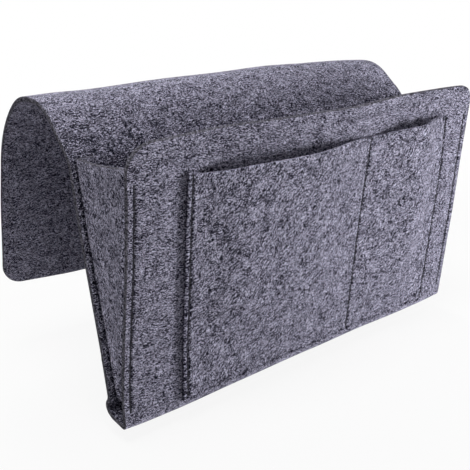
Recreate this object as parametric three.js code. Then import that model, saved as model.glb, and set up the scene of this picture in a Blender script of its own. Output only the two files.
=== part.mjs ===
import * as THREE from 'three';

// Sofa armrest caddy in thick felt. One long strip makes the front of the bag, its base, its back,
// the arch over the arm and the tuck flap. Two gussets close the bag's sides, and a hemmed outer
// pocket with a dividing seam is sewn on the front. Millimetres and degrees, +X along the arm,
// -Y towards the bag, +Z up, with the origin where the arch sits on the arm.

// Felt and thread
const width = 305;
const felt = 3;
const layerGap = 0.3;
const threadRadius = 0.45;

// Bag
const frontHeight = 176;
const frontLean = 5;
const frontCornerRadius = 16;
const baseDepth = 20.5;
const frontFoldRadius = 2.5;
const frontLip = 3;
const backFoldRadius = 6;
const backFoldTurn = 136;
const backLean = 12.8;
const backRun = 139.1;

// Arch over the arm, and the flap behind it
const kneeRadius = 6;
const riseSlope = 47;
const riseRun = 26.5;
const frontCrownRadius = 30.5;
const crownLand = 4;
const rearCrownRadius = 32;
const rearCrownSlope = 37;
const shoulderSlope = 55;
const shoulderRadius = 70;
const flapSlope = 79;
const flapRun = 96.5;
const flapCornerRadius = 15;

// Bend lines, where one stretch of the strip turns against the next
const bendGap = 0.3;
const bendBevel = 40;

// Side gussets
const gussetEdge = 1;
const gussetFoldRadius = 2;
const gussetFlange = 8;
const gussetTop = 0.3;
const gussetTopSlope = 5.6;

// Outer pocket
const pocketLeft = 37.5;
const pocketRight = 28.5;
const pocketFoot = 7.5;
const pocketHeight = 155.5;
const pocketDivider = 188;
const pocketHem = 9;
const pocketBow = 10;
const pocketBowRun = 36;
const pocketBowRise = 70;
const pocketSettle = 14;

// Seams
const edgeSeam = 5;
const edgeSeamFoot = 12.5;
const edgeSeamHead = 154.5;
const edgeSeamStop = 3;
const pocketSeam = 3.3;
const footSeam = 12;
const seamCornerRadius = 4;

// Smoothness of round stretches
const degreesPerFacet = 6;
const cornerFacets = 9;
const hemFacets = 10;
const bowFacets = 12;
const pocketRows = 10;
const threadSides = 6;
const threadSteps = 120;

const radians = THREE.MathUtils.degToRad;
const { clamp, lerp, smoothstep } = THREE.MathUtils;
const quarterTurn = 90;

// Length that a fold takes off each of the two faces outside it
const foldTake = (radius, turn) => (radius + felt / 2) * Math.tan(radians(turn) / 2);

// Moves of a felt layer seen edge on
const run = (length) => ({ length, turn: 0, radius: Infinity });
const bend = (radius, degrees) => ({
  length: radius * Math.abs(radians(degrees)),
  turn: Math.sign(degrees),
  radius,
});

// The middle line of a felt layer: a walk of runs and bends from a start point and heading.
// Its left side is the inside of the bag, the top of the arch and the back of the flap.
class FeltLine {
  constructor(start, moves) {
    this.legs = [];
    this.length = 0;
    let pose = start;
    for (const move of moves) {
      const leg = { ...move, from: this.length, start: pose };
      this.legs.push(leg);
      this.length += move.length;
      pose = this.poseOn(leg, move.length);
    }
    this.end = pose;
  }

  poseOn({ start, turn, radius }, along) {
    const { a, b, heading } = start;
    if (!turn) {
      return { a: a + along * Math.cos(heading), b: b + along * Math.sin(heading), heading };
    }
    const turned = heading + (turn * along) / radius;
    return {
      a: a + turn * radius * (Math.sin(turned) - Math.sin(heading)),
      b: b - turn * radius * (Math.cos(turned) - Math.cos(heading)),
      heading: turned,
    };
  }

  // The point at a distance along the line, moved towards its left side
  at(along, left = 0) {
    const leg = this.legs.findLast((each) => each.from <= along) ?? this.legs[0];
    const { a, b, heading } = this.poseOn(leg, along - leg.from);
    return [a - left * Math.sin(heading), b + left * Math.cos(heading)];
  }

  // Distances that the layer's outline needs: leg ends, and even steps round each bend
  stations(from, to) {
    const inside = [];
    for (const leg of this.legs) {
      const degrees = leg.turn ? THREE.MathUtils.radToDeg(leg.length / leg.radius) : 0;
      const steps = Math.max(1, Math.ceil(degrees / degreesPerFacet));
      for (let step = 0; step < steps; step++) {
        inside.push(leg.from + (leg.length * step) / steps);
      }
    }
    const tooClose = 0.05;
    return [from, ...inside.filter((s) => s > from + tooClose && s < to - tooClose), to];
  }

  // The closed outline of the layer between two distances. A bevelled end comes to a ridge on the
  // middle line, so that the next stretch of felt can turn about it.
  outline(from, to, { bevelStart = false, bevelEnd = false } = {}) {
    const setBack = (felt / 2) * Math.tan(radians(bendBevel));
    const first = from + (bevelStart ? setBack : 0);
    const last = to - (bevelEnd ? setBack : 0);
    const stations = this.stations(first, last);
    const right = stations.map((s) => this.at(s, -felt / 2));
    const left = stations.map((s) => this.at(s, felt / 2)).reverse();
    return [
      ...(bevelStart ? [this.at(from)] : []),
      ...right,
      ...(bevelEnd ? [this.at(to)] : []),
      ...left,
    ];
  }
}

// A closed solid through outlines of equally many points. Each outline runs anticlockwise about the
// direction of the loft, and place turns its two coordinates and its level into a point.
function loft(sections, place) {
  const count = sections[0].outline.length;
  const positions = sections.flatMap(({ level, outline }) =>
    outline.flatMap(([a, b]) => place(a, b, level)),
  );
  const index = [];
  for (let row = 0; row + 1 < sections.length; row++) {
    for (let k = 0; k < count; k++) {
      const low = row * count + k;
      const lowNext = row * count + ((k + 1) % count);
      index.push(low, lowNext, lowNext + count, low, lowNext + count, low + count);
    }
  }
  const capOf = ({ outline }) =>
    THREE.ShapeUtils.triangulateShape(
      outline.map(([a, b]) => new THREE.Vector2(a, b)),
      [],
    );
  const top = (sections.length - 1) * count;
  for (const [i, j, k] of capOf(sections[0])) {
    index.push(i, k, j);
  }
  for (const [i, j, k] of capOf(sections.at(-1))) {
    index.push(top + i, top + j, top + k);
  }
  const geometry = new THREE.BufferGeometry();
  geometry.setAttribute('position', new THREE.Float32BufferAttribute(positions, 3));
  geometry.setIndex(index);
  geometry.computeVertexNormals();
  return geometry;
}

const acrossWidth = (a, b, level) => [level, a, b];
const upright = (a, b, level) => [a, b, level];

// Thread laid along points, as one unbroken round line
function threadAlong(points, steps) {
  const section = new THREE.Shape();
  for (let side = 0; side < threadSides; side++) {
    const angle = (2 * Math.PI * side) / threadSides;
    const x = threadRadius * Math.cos(angle);
    const y = threadRadius * Math.sin(angle);
    if (side === 0) section.moveTo(x, y);
    else section.lineTo(x, y);
  }
  const path =
    points.length === 2
      ? new THREE.LineCurve3(...points)
      : new THREE.CatmullRomCurve3(points, false, 'centripetal');
  return new THREE.ExtrudeGeometry(section, { steps, extrudePath: path });
}

const feltMaterial = (colour) =>
  new THREE.MeshStandardMaterial({ color: colour, roughness: 0.98, metalness: 0 });
const threadMaterial = () =>
  new THREE.MeshStandardMaterial({ color: '#2b2a31', roughness: 0.8, metalness: 0 });

function addPiece(parent, name, geometry, material) {
  const mesh = new THREE.Mesh(geometry, material);
  mesh.name = name;
  parent.add(mesh);
}

// Everything is placed from the front panel's lower left corner, and the whole is then moved so
// that the arch's seat is the origin.
const caddy = new THREE.Group();

// The felt strip, from the front panel's top edge round to the flap's lower edge
const frontTake = foldTake(frontFoldRadius, quarterTurn - frontLean);
const backRise = quarterTurn - backLean;
const kneeTurn = backRise - riseSlope;
const stretches = {
  front_panel: [run(frontHeight - frontTake - frontLip)],
  base_fold: [
    run(frontLip),
    bend(frontFoldRadius, quarterTurn - frontLean),
    run(baseDepth - frontTake - backFoldRadius - felt / 2),
    bend(backFoldRadius, backFoldTurn),
    bend(backFoldRadius, backRise - backFoldTurn),
  ],
  back_panel: [run(backRun), bend(kneeRadius, -kneeTurn / 2)],
  saddle: [
    bend(kneeRadius, -kneeTurn / 2),
    run(riseRun),
    bend(frontCrownRadius, -riseSlope),
    run(crownLand),
    bend(rearCrownRadius, -rearCrownSlope),
    bend(shoulderRadius, rearCrownSlope - shoulderSlope),
  ],
  tuck_flap: [bend(shoulderRadius, shoulderSlope - flapSlope), run(flapRun)],
};

const lean = radians(frontLean);
const frontTop = {
  a: (felt / 2) * Math.cos(lean) - frontHeight * Math.sin(lean),
  b: (felt / 2) * Math.sin(lean) + frontHeight * Math.cos(lean),
  heading: lean - Math.PI / 2,
};
const lines = {};
let pose = frontTop;
for (const [name, moves] of Object.entries(stretches)) {
  lines[name] = new FeltLine(pose, moves);
  pose = lines[name].end;
}

// How far a rounded corner cuts the strip short at a place across its width
function cornerCut(x, radius) {
  const inward = radius - Math.min(x, width - x, radius);
  return radius - Math.sqrt(radius ** 2 - inward ** 2);
}

function widthStations(radius) {
  if (!radius) return [0, width];
  const near = [];
  for (let step = 0; step <= cornerFacets; step++) {
    near.push(radius * (1 - Math.cos((Math.PI / 2) * (step / cornerFacets))));
  }
  return [...near, ...near.map((x) => width - x).reverse()];
}

function stripPiece(name, { startCorner = 0, endCorner = 0, ...bevels }) {
  const line = lines[name];
  const sections = widthStations(startCorner || endCorner).map((x) => ({
    level: x,
    outline: line.outline(
      startCorner ? cornerCut(x, startCorner) : bendGap / 2,
      line.length - (endCorner ? cornerCut(x, endCorner) : bendGap / 2),
      bevels,
    ),
  }));
  return loft(sections, acrossWidth);
}

const greyFelt = '#79767f';
const backFelt = '#6d6a73';
addPiece(
  caddy,
  'front_panel',
  stripPiece('front_panel', { startCorner: frontCornerRadius, bevelEnd: true }),
  feltMaterial(greyFelt),
);
addPiece(caddy, 'base_fold', stripPiece('base_fold', { bevelStart: true }), feltMaterial(backFelt));
addPiece(caddy, 'back_panel', stripPiece('back_panel', { bevelEnd: true }), feltMaterial(backFelt));
addPiece(
  caddy,
  'saddle',
  stripPiece('saddle', { bevelStart: true, bevelEnd: true }),
  feltMaterial(greyFelt),
);
addPiece(
  caddy,
  'tuck_flap',
  stripPiece('tuck_flap', { bevelStart: true, endCorner: flapCornerRadius }),
  feltMaterial(backFelt),
);

// The bag's wedge: its inner faces meet in a line below the base. The gussets are placed from that
// line, with their own upright half way between the front and the back.
const wedgeHalf = radians(frontLean + backLean) / 2;
const wedgeLean = radians(backLean - frontLean) / 2;
const frontFace = lines.front_panel.at(lines.front_panel.length, felt / 2);
const backFace = lines.back_panel.at(0, felt / 2);
const frontSlope = -Math.tan(lean);
const backSlope = Math.tan(radians(backLean));
const apexZ =
  (backFace[0] - frontFace[0] + frontSlope * frontFace[1] - backSlope * backFace[1]) /
  (frontSlope - backSlope);
const apexY = frontFace[0] + frontSlope * (apexZ - frontFace[1]);

const wedge = new THREE.Group();
wedge.position.set(0, apexY, apexZ);
wedge.rotation.x = -wedgeLean;
caddy.add(wedge);

// Levels of the gussets above the wedge's lower line: from the foot of the flat back, to a top edge
// that starts a little below the knee and rises towards the front
const backFoot = Math.hypot(backFace[0] - apexY, backFace[1] - apexZ);
const gussetFoot = backFoot * Math.cos(wedgeHalf) + layerGap;
const gussetBackHead = (backFoot + backRun - gussetTop) * Math.cos(wedgeHalf);
const topSlope = Math.tan(radians(gussetTopSlope));
const topRise = topSlope * Math.tan(wedgeHalf);
const gussetHead = gussetBackHead * (1 + topRise);

// Distance from the wedge's middle to the middle of a flange that lies on the front or back face
const flangeMiddle = (level) =>
  level * Math.tan(wedgeHalf) - (layerGap + felt / 2) / Math.cos(wedgeHalf);

function gussetOutline(level) {
  const middle = flangeMiddle(level);
  const flangeEnd = gussetEdge + felt / 2 + gussetFoldRadius + gussetFlange;
  const line = new FeltLine({ a: flangeEnd, b: -middle, heading: Math.PI }, [
    run(gussetFlange),
    bend(gussetFoldRadius, -quarterTurn),
    run(2 * (middle - gussetFoldRadius)),
    bend(gussetFoldRadius, -quarterTurn),
    run(gussetFlange),
  ]);
  return line.outline(0, line.length);
}

// Slides the top edge up or down its own face, so that it slopes
function slopedTop(x, y, level) {
  const lift = level === gussetHead ? -topSlope * y : 0;
  return [x, y + Math.sign(y) * lift * Math.tan(wedgeHalf), level + lift];
}

const otherSide = (outline) => outline.map(([x, y]) => [width - x, y]).reverse();
const gussetLevels = [gussetFoot, gussetHead];
const sides = { left: (outline) => outline, right: otherSide };
for (const [side, turned] of Object.entries(sides)) {
  const sections = gussetLevels.map((level) => ({ level, outline: turned(gussetOutline(level)) }));
  addPiece(wedge, `${side}_gusset`, loft(sections, slopedTop), feltMaterial(greyFelt));
}

// Seams along the gussets' flanges. The back ones show on the flange, inside the bag.
const threadRise = layerGap + threadRadius;
const offFlange = (felt / 2 + threadRise) / Math.cos(wedgeHalf);
const seamColumns = { left: edgeSeam, right: width - edgeSeam };
for (const [side, x] of Object.entries(seamColumns)) {
  const ends = [gussetFoot + edgeSeamStop, gussetBackHead - edgeSeamStop].map(
    (level) => new THREE.Vector3(x, flangeMiddle(level) - offFlange, level),
  );
  addPiece(wedge, `${side}_back_seam`, threadAlong(ends, 1), threadMaterial());
}

// The front panel's own frame: x across it, z up it from the base, y into the bag
const front = new THREE.Group();
front.rotation.x = lean;
caddy.add(front);

for (const [side, x] of Object.entries(seamColumns)) {
  const ends = [edgeSeamFoot, edgeSeamHead].map((z) => new THREE.Vector3(x, -threadRise, z));
  addPiece(front, `${side}_front_seam`, threadAlong(ends, 1), threadMaterial());
}

// Outer pocket. Its side edges are folded under, so they stand two layers high. Between them the
// layer settles onto the panel at the foot seam and at the divider, and bows out at the mouth.
const pocketEnd = width - pocketRight;
const hemLeft = pocketLeft + pocketHem;
const hemRight = pocketEnd - pocketHem;

function pocketLift(x, z) {
  const hem = x < pocketDivider ? hemLeft : hemRight;
  const span = Math.abs(pocketDivider - hem);
  const toDivider = clamp(Math.abs(pocketDivider - x), 0, span);
  const fromHem = span - toDivider;
  const settle = lerp(pocketSettle, span, smoothstep(z, footSeam, pocketHeight));
  const offHem = felt * (1 - smoothstep(fromHem, 0, settle));
  const bowAcross = smoothstep(fromHem, 0, pocketBowRun) * smoothstep(toDivider, 0, pocketBowRun);
  return offHem + pocketBow * bowAcross * smoothstep(z, footSeam, footSeam + pocketBowRise);
}

const pocketFace = (x, z) => layerGap + pocketLift(x, z) + felt;

const pocketColumns = [];
for (let step = 0; step < bowFacets; step++) {
  pocketColumns.push(lerp(hemLeft, pocketDivider, step / bowFacets));
}
for (let step = 0; step <= bowFacets; step++) {
  pocketColumns.push(lerp(pocketDivider, hemRight, step / bowFacets));
}

// The rounded fold at a side edge of the pocket, from the panel out or back again
function hemFold(x, fromDegrees) {
  const points = [];
  for (let step = 0; step <= hemFacets; step++) {
    const angle = radians(fromDegrees + (180 * step) / hemFacets);
    points.push([x + felt * Math.cos(angle), -layerGap - felt + felt * Math.sin(angle)]);
  }
  return points;
}

function pocketOutline(z) {
  return [
    [hemLeft, -layerGap],
    ...hemFold(pocketLeft + felt, quarterTurn),
    ...pocketColumns.map((x) => [x, -pocketFace(x, z)]),
    ...hemFold(pocketEnd - felt, -quarterTurn),
    [hemRight, -layerGap],
    ...pocketColumns.map((x) => [x, felt - pocketFace(x, z)]).reverse(),
  ];
}

const pocketLevels = [pocketFoot];
for (let row = 0; row <= pocketRows; row++) {
  pocketLevels.push(lerp(footSeam, pocketHeight, row / pocketRows));
}
addPiece(
  front,
  'outer_pocket',
  loft(
    pocketLevels.map((level) => ({ level, outline: pocketOutline(level) })),
    upright,
  ),
  feltMaterial(greyFelt),
);

// The pocket's seams lie on its face: one run down, along the foot and up again, and the divider
const onPocket = (x, z) => new THREE.Vector3(x, -pocketFace(x, z) - threadRise, z);
const seamLeft = pocketLeft + pocketSeam;
const seamRight = pocketEnd - pocketSeam;
const cornerMiddle = seamCornerRadius * (1 - Math.SQRT1_2);
const seamTop = pocketHeight - pocketSeam / 2;
const footColumns = pocketColumns.filter(
  (x) => x >= seamLeft + seamCornerRadius && x <= seamRight - seamCornerRadius,
);
const pocketRun = [
  onPocket(seamLeft, seamTop),
  onPocket(seamLeft, footSeam + seamCornerRadius),
  onPocket(seamLeft + cornerMiddle, footSeam + cornerMiddle),
  ...footColumns.map((x) => onPocket(x, footSeam)),
  onPocket(seamRight - cornerMiddle, footSeam + cornerMiddle),
  onPocket(seamRight, footSeam + seamCornerRadius),
  onPocket(seamRight, seamTop),
];
addPiece(front, 'pocket_seam', threadAlong(pocketRun, threadSteps), threadMaterial());

const dividerRun = [
  onPocket(pocketDivider, footSeam + felt),
  onPocket(pocketDivider, seamTop),
];
addPiece(front, 'divider_seam', threadAlong(dividerRun, 1), threadMaterial());

// The seat is the underside of the arch's level land, half way along it
const behindCrown =
  bend(rearCrownRadius, rearCrownSlope).length +
  bend(shoulderRadius, shoulderSlope - rearCrownSlope).length;
const crownMiddle = lines.saddle.length - behindCrown - crownLand / 2;
const [seatY, seatZ] = lines.saddle.at(crownMiddle, -felt / 2);
caddy.position.set(-width / 2, -seatY, -seatZ);

export default caddy;
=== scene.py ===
import math

import bmesh
import bpy
import numpy as np
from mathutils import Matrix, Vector, noise


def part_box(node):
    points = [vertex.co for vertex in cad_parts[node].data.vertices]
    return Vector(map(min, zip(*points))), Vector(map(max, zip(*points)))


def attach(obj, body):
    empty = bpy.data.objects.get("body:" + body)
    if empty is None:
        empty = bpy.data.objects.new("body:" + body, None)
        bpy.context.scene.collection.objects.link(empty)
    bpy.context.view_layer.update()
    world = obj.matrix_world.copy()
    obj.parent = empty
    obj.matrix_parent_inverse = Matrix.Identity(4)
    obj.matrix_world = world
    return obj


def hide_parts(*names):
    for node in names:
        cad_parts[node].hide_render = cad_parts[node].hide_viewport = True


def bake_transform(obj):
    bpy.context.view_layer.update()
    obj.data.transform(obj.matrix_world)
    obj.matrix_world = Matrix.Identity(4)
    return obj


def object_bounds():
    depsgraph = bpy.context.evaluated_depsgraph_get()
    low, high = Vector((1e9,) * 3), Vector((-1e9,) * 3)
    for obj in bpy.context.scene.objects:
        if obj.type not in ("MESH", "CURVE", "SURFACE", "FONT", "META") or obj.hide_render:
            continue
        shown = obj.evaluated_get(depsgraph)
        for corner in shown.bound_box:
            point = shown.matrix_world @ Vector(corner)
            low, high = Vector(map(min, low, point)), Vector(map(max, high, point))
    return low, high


# Felt sofa armrest caddy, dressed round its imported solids. Metres and degrees.
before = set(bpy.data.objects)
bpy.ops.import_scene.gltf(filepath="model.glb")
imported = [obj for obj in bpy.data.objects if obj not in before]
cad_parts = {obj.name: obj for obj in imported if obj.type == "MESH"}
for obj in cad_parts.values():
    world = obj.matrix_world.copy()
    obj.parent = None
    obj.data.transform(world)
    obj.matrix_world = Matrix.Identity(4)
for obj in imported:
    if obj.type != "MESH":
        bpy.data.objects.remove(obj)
cadLow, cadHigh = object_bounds()
print("frame loaded:", len(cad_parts), "nodes")


def addObject(name, data):
    piece = bpy.data.objects.new(name, data)
    bpy.context.scene.collection.objects.link(piece)
    return piece


# Camera, at the angle of the product shot
cameraSetup = {
    "place": (-0.35856, -0.42867, 0.07745),
    "azimuth": -40.642,
    "elevation": 19.408,
    "lens": 59.188,
    "sensor": 36.0,
    "nearest": 0.01,
}


def makeCamera(setup):
    azimuth = math.radians(setup["azimuth"])
    elevation = math.radians(setup["elevation"])
    level = math.cos(elevation)
    ahead = Vector((-math.sin(azimuth) * level, math.cos(azimuth) * level, -math.sin(elevation)))
    data = bpy.data.cameras.new("shotCamera")
    data.lens = setup["lens"]
    data.sensor_width = setup["sensor"]
    data.clip_start = setup["nearest"]
    camera = addObject("shotCamera", data)
    camera.location = setup["place"]
    camera.rotation_euler = ahead.to_track_quat("-Z", "Y").to_euler()
    bpy.context.scene.camera = camera


makeCamera(cameraSetup)
print("camera set")


# Shader maths as expressions: a socket with operators, each of which adds a Math node
class Flow:
    def __init__(self, tree, socket):
        self.tree = tree
        self.socket = socket

    def math(self, operation, *values):
        return nodeFrom(self.tree, "ShaderNodeMath", {"operation": operation}, *values)[0]

    def __add__(self, other):
        return self.math("ADD", self, other)

    def __sub__(self, other):
        return self.math("SUBTRACT", self, other)

    def __mul__(self, other):
        return self.math("MULTIPLY", self, other)

    __radd__ = __add__
    __rmul__ = __mul__


# One way to make any node: its settings first, then its inputs by place or by name
def nodeFrom(tree, kind, settings, *inputs, **named):
    node = tree.nodes.new(kind)
    for key, value in settings.items():
        if key == "stops":
            setStops(node.color_ramp, value)
        else:
            setattr(node, key, value)
    wanted = dict(enumerate(inputs))
    wanted.update({key.replace("_", " "): value for key, value in named.items()})
    for key, value in wanted.items():
        if isinstance(value, Flow):
            tree.links.new(value.socket, node.inputs[key])
        elif value is not None:
            node.inputs[key].default_value = value
    return [Flow(tree, socket) for socket in node.outputs]


def setStops(ramp, stops):
    while len(ramp.elements) < len(stops):
        ramp.elements.new(0.5)
    for element, (place, colour) in zip(ramp.elements, stops):
        element.position = place
        element.color = (*colour, 1.0)


def newMaterial(name):
    material = bpy.data.materials.new(name)
    material.use_nodes = True
    tree = material.node_tree
    tree.nodes.clear()
    return material, tree


def finishMaterial(tree, look, tone, roughness, height):
    colour = nodeFrom(tree, "ShaderNodeValToRGB", {"stops": look["stops"]}, tone)[0]
    bump = nodeFrom(
        tree, "ShaderNodeBump", {}, Strength=look["bump"], Distance=look["bumpDepth"], Height=height
    )[0]
    shader = nodeFrom(
        tree,
        "ShaderNodeBsdfPrincipled",
        {},
        Base_Color=colour,
        Roughness=roughness,
        Specular_IOR_Level=look["specular"],
        Normal=bump,
    )[0]
    nodeFrom(tree, "ShaderNodeOutputMaterial", {}, shader)


# Grey melange felt: light and dark fibres carded mostly one way, with loose strays across them
melange = {
    "stops": [
        (0.0, (0.0050, 0.0046, 0.0088)),
        (0.3, (0.0265, 0.0250, 0.0405)),
        (0.52, (0.077, 0.0737, 0.1085)),
        (0.74, (0.193, 0.186, 0.26)),
        (1.0, (0.56, 0.545, 0.685)),
    ],
    "layers": [  # angle, fibre length, fibre thickness, strength
        (8, 0.0028, 0.00050, 0.9),
        (-18, 0.0023, 0.00048, 0.85),
        (36, 0.0019, 0.00048, 0.75),
        (-50, 0.0016, 0.00046, 0.6),
        (76, 0.0013, 0.00046, 0.5),
        (0, 0.00048, 0.00048, 1.4),
    ],
    "layerShift": (0.37, 0.21),
    "contrast": 4.8,
    "clouds": 1.0,
    "cloudSize": (0.010, 0.005),
    "cloudShift": (0.9, 0.4),
    "warp": 0.0020,
    "warpSize": 0.008,
    "paintedShadingStrength": 0.6,
    "bump": 0.35,
    "bumpDepth": 0.0006,
    "roughness": 0.97,
    "specular": 0.05,
}


def clothNoise(tree, place, scale, detail):
    return nodeFrom(
        tree, "ShaderNodeTexNoise", {"noise_dimensions": "2D"}, Vector=place, Scale=scale, Detail=detail
    )


# The cloth's coordinates moved, turned and measured in sizes of a fibre or a cloud
def laidOut(tree, place, shift, degrees, size):
    return nodeFrom(
        tree,
        "ShaderNodeMapping",
        {"vector_type": "TEXTURE"},
        place,
        (*shift, 0),
        (0, 0, math.radians(degrees)),
        (*size, 1),
    )[0]


def feltMaterial(name, look):
    material, tree = newMaterial(name)
    cloth = nodeFrom(tree, "ShaderNodeUVMap", {"uv_map": "cloth"})[0]
    sway = clothNoise(tree, cloth, 1 / look["warpSize"], 1.0)[1]
    centred = nodeFrom(
        tree, "ShaderNodeVectorMath", {"operation": "SUBTRACT"}, sway, (0.5, 0.5, 0.5)
    )[0]
    swayed = nodeFrom(
        tree,
        "ShaderNodeVectorMath",
        {"operation": "MULTIPLY_ADD"},
        centred,
        (look["warp"] * 2, look["warp"] * 2, 0),
        cloth,
    )[0]
    total = 0
    weight = math.sqrt(sum(strength**2 for *_, strength in look["layers"]))
    for number, (angle, length, thickness, strength) in enumerate(look["layers"]):
        shift = [number * part for part in look["layerShift"]]
        laid = laidOut(tree, swayed, shift, angle, (length, thickness))
        fibres = clothNoise(tree, laid, 1.0, 1.0)[0]
        total = total + (fibres - 0.5) * (strength / weight)
    drift = laidOut(tree, swayed, look["cloudShift"], 0, look["cloudSize"])
    clouds = clothNoise(tree, drift, 1.0, 2.0)[0]
    # Painted shading read from the mesh: painted shade in seam grooves, creases, folds and corners, and
    # a painted highlight where it is negative
    press = nodeFrom(tree, "ShaderNodeAttribute", {"attribute_name": "press"})[2]
    tone = total * look["contrast"] + (clouds - 0.5) * look["clouds"] + 0.5
    tone = tone - press * look["paintedShadingStrength"]
    finishMaterial(tree, look, tone, look["roughness"], total)
    return material


# The raw cut through the felt: darker, with its layers showing as fine lines
cutLook = {
    "stops": [
        (0.2, (0.015, 0.0145, 0.018)),
        (0.5, (0.074, 0.072, 0.086)),
        (0.8, (0.22, 0.21, 0.26)),
    ],
    "fibre": 0.0012,
    "ragged": 0.65,
    "contrast": 2.4,
    "paintedShadingStrength": 0.06,
    "bump": 0.5,
    "bumpDepth": 0.0005,
    "roughness": 0.98,
    "specular": 0.02,
}


def cutMaterial(name, look):
    material, tree = newMaterial(name)
    place = nodeFrom(tree, "ShaderNodeTexCoord", {})[3]
    fibres = nodeFrom(
        tree,
        "ShaderNodeTexNoise",
        {},
        Vector=place,
        Scale=1 / look["fibre"],
        Detail=3.0,
        Roughness=look["ragged"],
    )[0]
    # The same painted shade darkens the cut edge a little
    press = nodeFrom(tree, "ShaderNodeAttribute", {"attribute_name": "press"})[2]
    tone = (fibres - 0.5) * look["contrast"] + 0.5 - press * look["paintedShadingStrength"]
    finishMaterial(tree, look, tone, look["roughness"], fibres)
    return material


# Near-black sewing thread, a little lighter and rougher in small random patches
threadLook = {
    "stops": [(0.3, (0.012, 0.011, 0.015)), (0.8, (0.045, 0.043, 0.055))],
    "twist": 0.0006,
    "bump": 0.4,
    "bumpDepth": 0.0002,
    "roughness": 0.62,
    "rougher": 0.2,
    "specular": 0.2,
}


def threadMaterial(name, look):
    material, tree = newMaterial(name)
    place = nodeFrom(tree, "ShaderNodeTexCoord", {})[3]
    twist = nodeFrom(
        tree, "ShaderNodeTexNoise", {}, Vector=place, Scale=1 / look["twist"], Detail=2.0
    )[0]
    finishMaterial(tree, look, twist, look["roughness"] + look["rougher"] * twist, twist)
    return material


feltFace = feltMaterial("melangeFelt", melange)
feltCut = cutMaterial("feltCutEdge", cutLook)
darkThread = threadMaterial("darkThread", threadLook)
print("materials made")


# The strip of felt seen edge on: runs and bends from the front's top edge to the flap's lower edge
strip = {
    "felt": 0.003,
    "layerGap": 0.0001,
    "frontHeight": 0.176,
    "frontLean": 5,
    "frontCorners": (0.016, 0.012),
    "baseDepth": 0.0205,
    "frontFold": 0.0025,
    "frontLip": 0.003,
    "backFold": 0.006,
    "backFoldTurn": 136,
    "backLean": 12.8,
    "backRun": 0.1391,
    "knee": 0.006,
    "riseSlope": 47,
    "riseRun": 0.0265,
    "frontCrown": 0.0305,
    "crownLand": 0.004,
    "rearCrown": 0.032,
    "rearCrownSlope": 37,
    "shoulder": 0.070,
    "flapSlope": 79,
    "flapRun": 0.0965,
    "flapCorners": (0.0145, 0.015),
    "cornerReach": 2.4,
    "split": 0.022,
    "step": 0.0026,
}
felt = strip["felt"]
half = felt / 2
panelLow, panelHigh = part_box("front_panel")
width = panelHigh.x - panelLow.x
leftEnd = panelLow.x
rightEnd = leftEnd + width


def run(length):
    return length, 0.0


def bend(radius, degrees):
    return radius * math.radians(abs(degrees)), math.copysign(1 / radius, degrees)


# A walk over runs and bends gives a place, a heading and the side to its left at any distance
class Line:
    def __init__(self, start, heading, moves):
        self.legs = []
        place, along = np.array(start, float), 0.0
        for length, curve in moves:
            self.legs.append((along, place, heading, curve))
            place, heading = self.step(place, heading, curve, length)
            along += length
        self.length = along

    @staticmethod
    def step(place, heading, curve, length):
        turned = heading + curve * length
        if curve:
            moved = [
                (np.sin(turned) - np.sin(heading)) / curve,
                (np.cos(heading) - np.cos(turned)) / curve,
            ]
        else:
            moved = [length * np.cos(heading), length * np.sin(heading)]
        return np.array([place[0] + moved[0], place[1] + moved[1]]), turned

    def at(self, distances):
        distances = np.asarray(distances, float)
        places = np.zeros(distances.shape + (2,))
        headings = np.zeros(distances.shape)
        for along, place, heading, curve in self.legs:
            here = distances >= along - 1e-9
            if along == 0.0:
                here = np.ones_like(here)
            moved, turned = self.step(place, heading, curve, distances[here] - along)
            places[here] = moved.T
            headings[here] = turned
        left = np.stack([-np.sin(headings), np.cos(headings)], -1)
        return places, left


def stripMoves(s):
    take = (s["frontFold"] + half) * math.tan(math.radians(90 - s["frontLean"]) / 2)
    backRise = 90 - s["backLean"]
    knee = (backRise - s["riseSlope"]) / 2
    return {
        "front": [run(s["frontHeight"] - take - s["frontLip"])],
        "base": [
            run(s["frontLip"]),
            bend(s["frontFold"], 90 - s["frontLean"]),
            run(s["baseDepth"] - take - s["backFold"] - half),
            bend(s["backFold"], s["backFoldTurn"]),
            bend(s["backFold"], backRise - s["backFoldTurn"]),
        ],
        "back": [run(s["backRun"]), bend(s["knee"], -knee)],
        "rise": [
            bend(s["knee"], -knee),
            run(s["riseRun"]),
            bend(s["frontCrown"], -s["riseSlope"]),
            run(s["crownLand"] / 2),
        ],
        "fall": [
            run(s["crownLand"] / 2),
            bend(s["rearCrown"], -s["rearCrownSlope"]),
            bend(s["shoulder"], s["rearCrownSlope"] - s["flapSlope"]),
            run(s["flapRun"]),
        ],
    }


stretches = stripMoves(strip)
lean = math.radians(strip["frontLean"])
stripLine = Line(
    (panelLow.y + half * math.cos(lean), panelHigh.z - half * math.sin(lean)),
    lean - math.pi / 2,
    [move for moves in stretches.values() for move in moves],
)
ends, along = {}, 0.0
for part, moves in stretches.items():
    along += sum(length for length, _ in moves)
    ends[part] = along
print("strip line:", round(stripLine.length * 1000, 1), "mm long")


def smooth(value, low, high):
    share = np.clip((value - low) / (high - low), 0, 1)
    return share * share * (3 - 2 * share)


# Rises between the first two places and falls between the next two
def within(value, rise, fall):
    return smooth(value, *rise) * (1 - smooth(value, *fall))


# A point or direction of the strip's section, set in space
def inSpace(x, flat):
    return np.stack([x, flat[..., 0], flat[..., 1]], -1)


# Slow unevenness that any soft felt sheet has, the same at each run
def uneven(a, b, size, seed):
    flat = np.stack([np.ravel(a), np.ravel(b)], -1) / size
    values = [noise.noise(Vector((u, v, seed))) for u, v in flat]
    return np.reshape(values, np.shape(a))


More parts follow.
